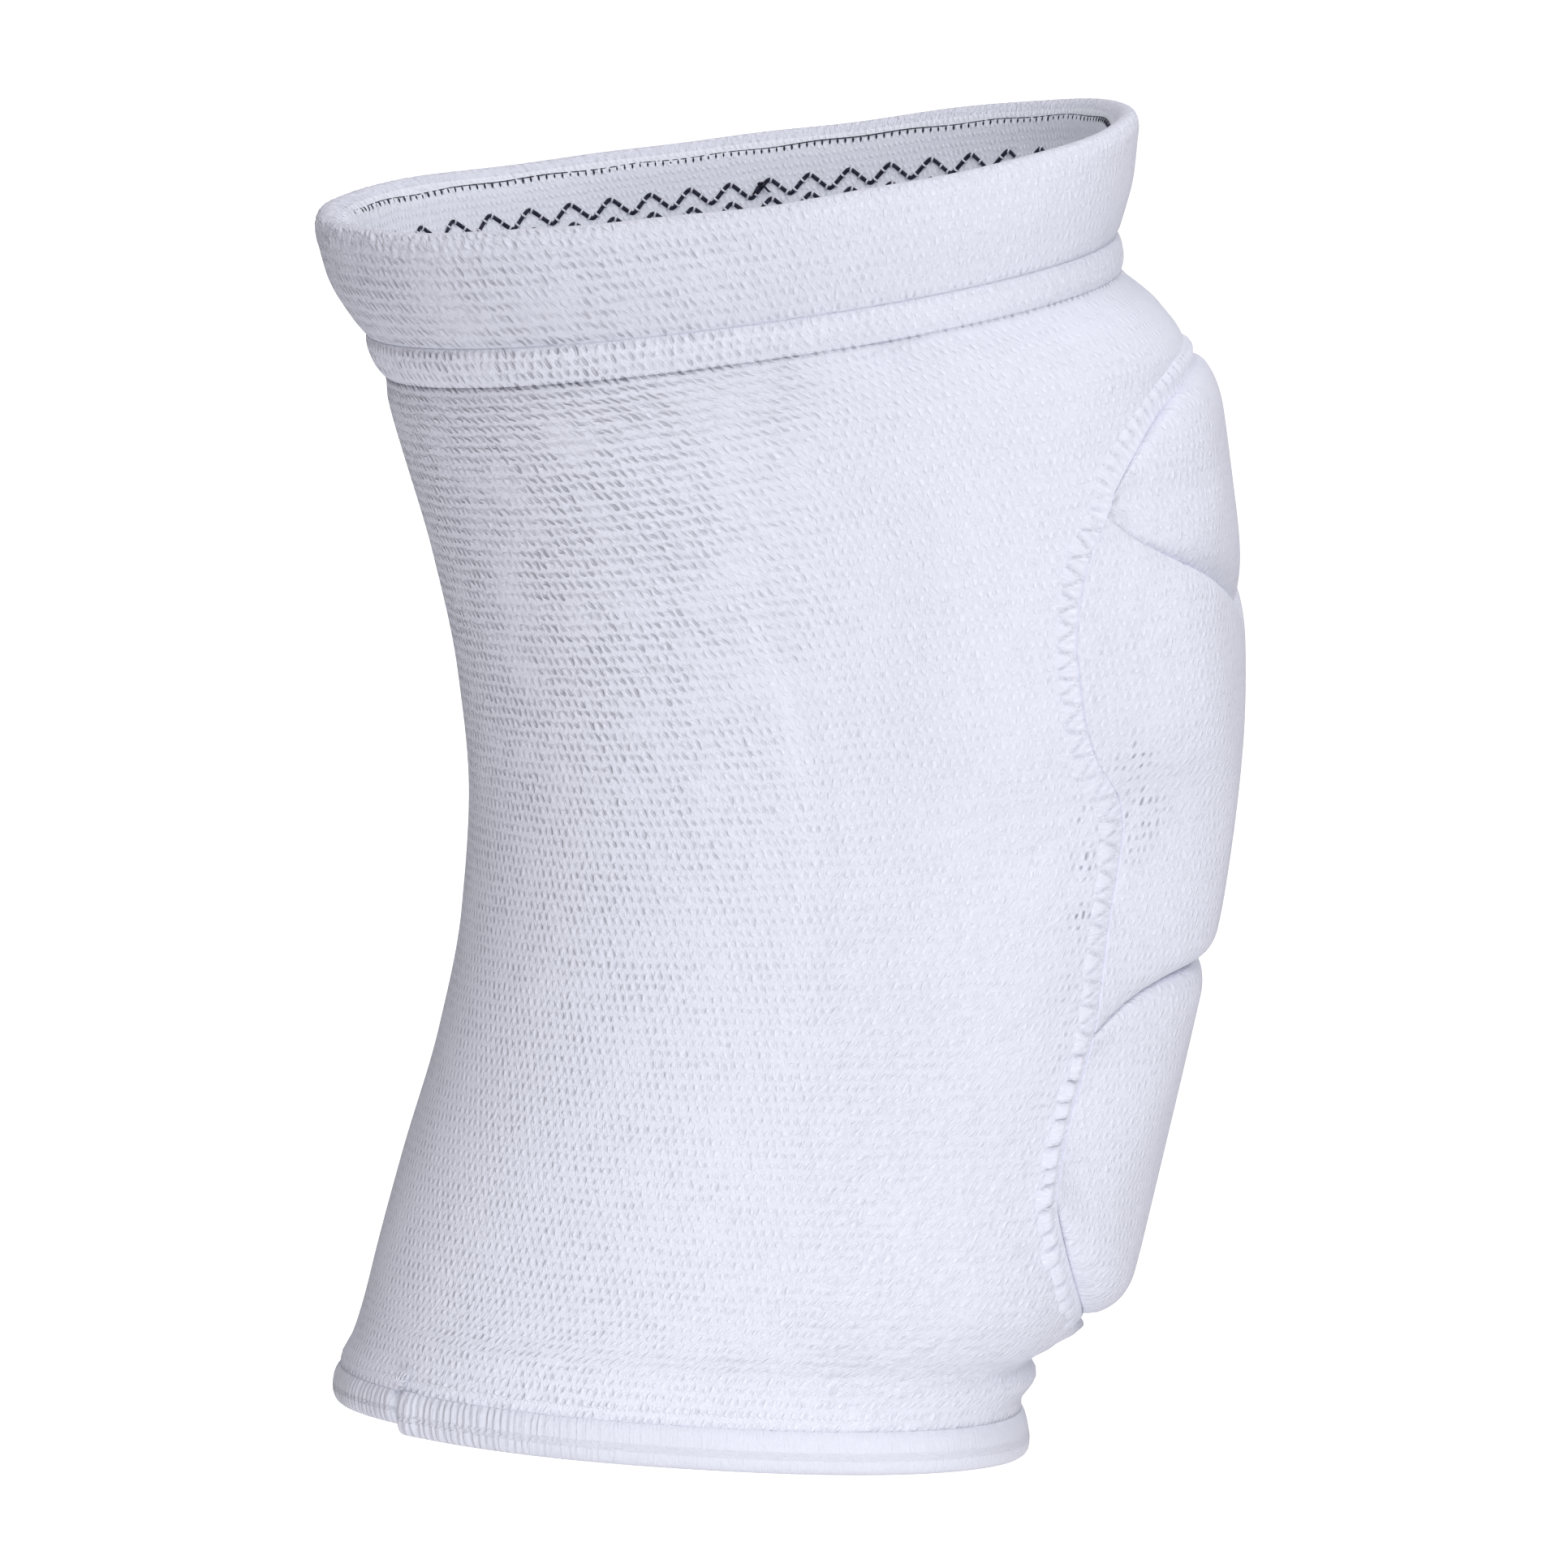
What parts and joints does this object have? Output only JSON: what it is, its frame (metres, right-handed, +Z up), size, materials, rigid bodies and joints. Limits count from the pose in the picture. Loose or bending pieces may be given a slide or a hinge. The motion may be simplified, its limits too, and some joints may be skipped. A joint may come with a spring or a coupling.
{
  "type": "volleyball knee pad",
  "caption": "Knitted sleeve that is worn round the knee, with a folded cuff, a rolled hem and sewn-in foam pads over the kneecap and shin.",
  "frame": {"origin": "middle of the sleeve's hollow at the height of the kneecap, where the knee sits", "axes": "+Z up the leg towards the thigh, +X out of the kneecap through the pads, Y from side to side"},
  "size_m": [0.149, 0.1072, 0.2159],
  "materials": {
    "knit": "bulky white elastic knit with a cool tint, matte",
    "cuff_knit": "the same knit folded double, matte, with a finer face inside",
    "hem_knit": "finely ribbed white yarn, rolled, slightly smoother",
    "pad_cover": "the white knit stretched over foam, matte",
    "seam_thread": "puckered knit under white zigzag thread"
  },
  "bodies": {
    "root": {"sleeve": "knit", "top_cuff": "cuff_knit", "cuff_seam_rib": "cuff_knit", "bottom_hem": "hem_knit", "pad_upper": "pad_cover", "pad_middle": "pad_cover", "pad_lower": "pad_cover", "pad_seam": "seam_thread"}
  },
  "joints": []
}
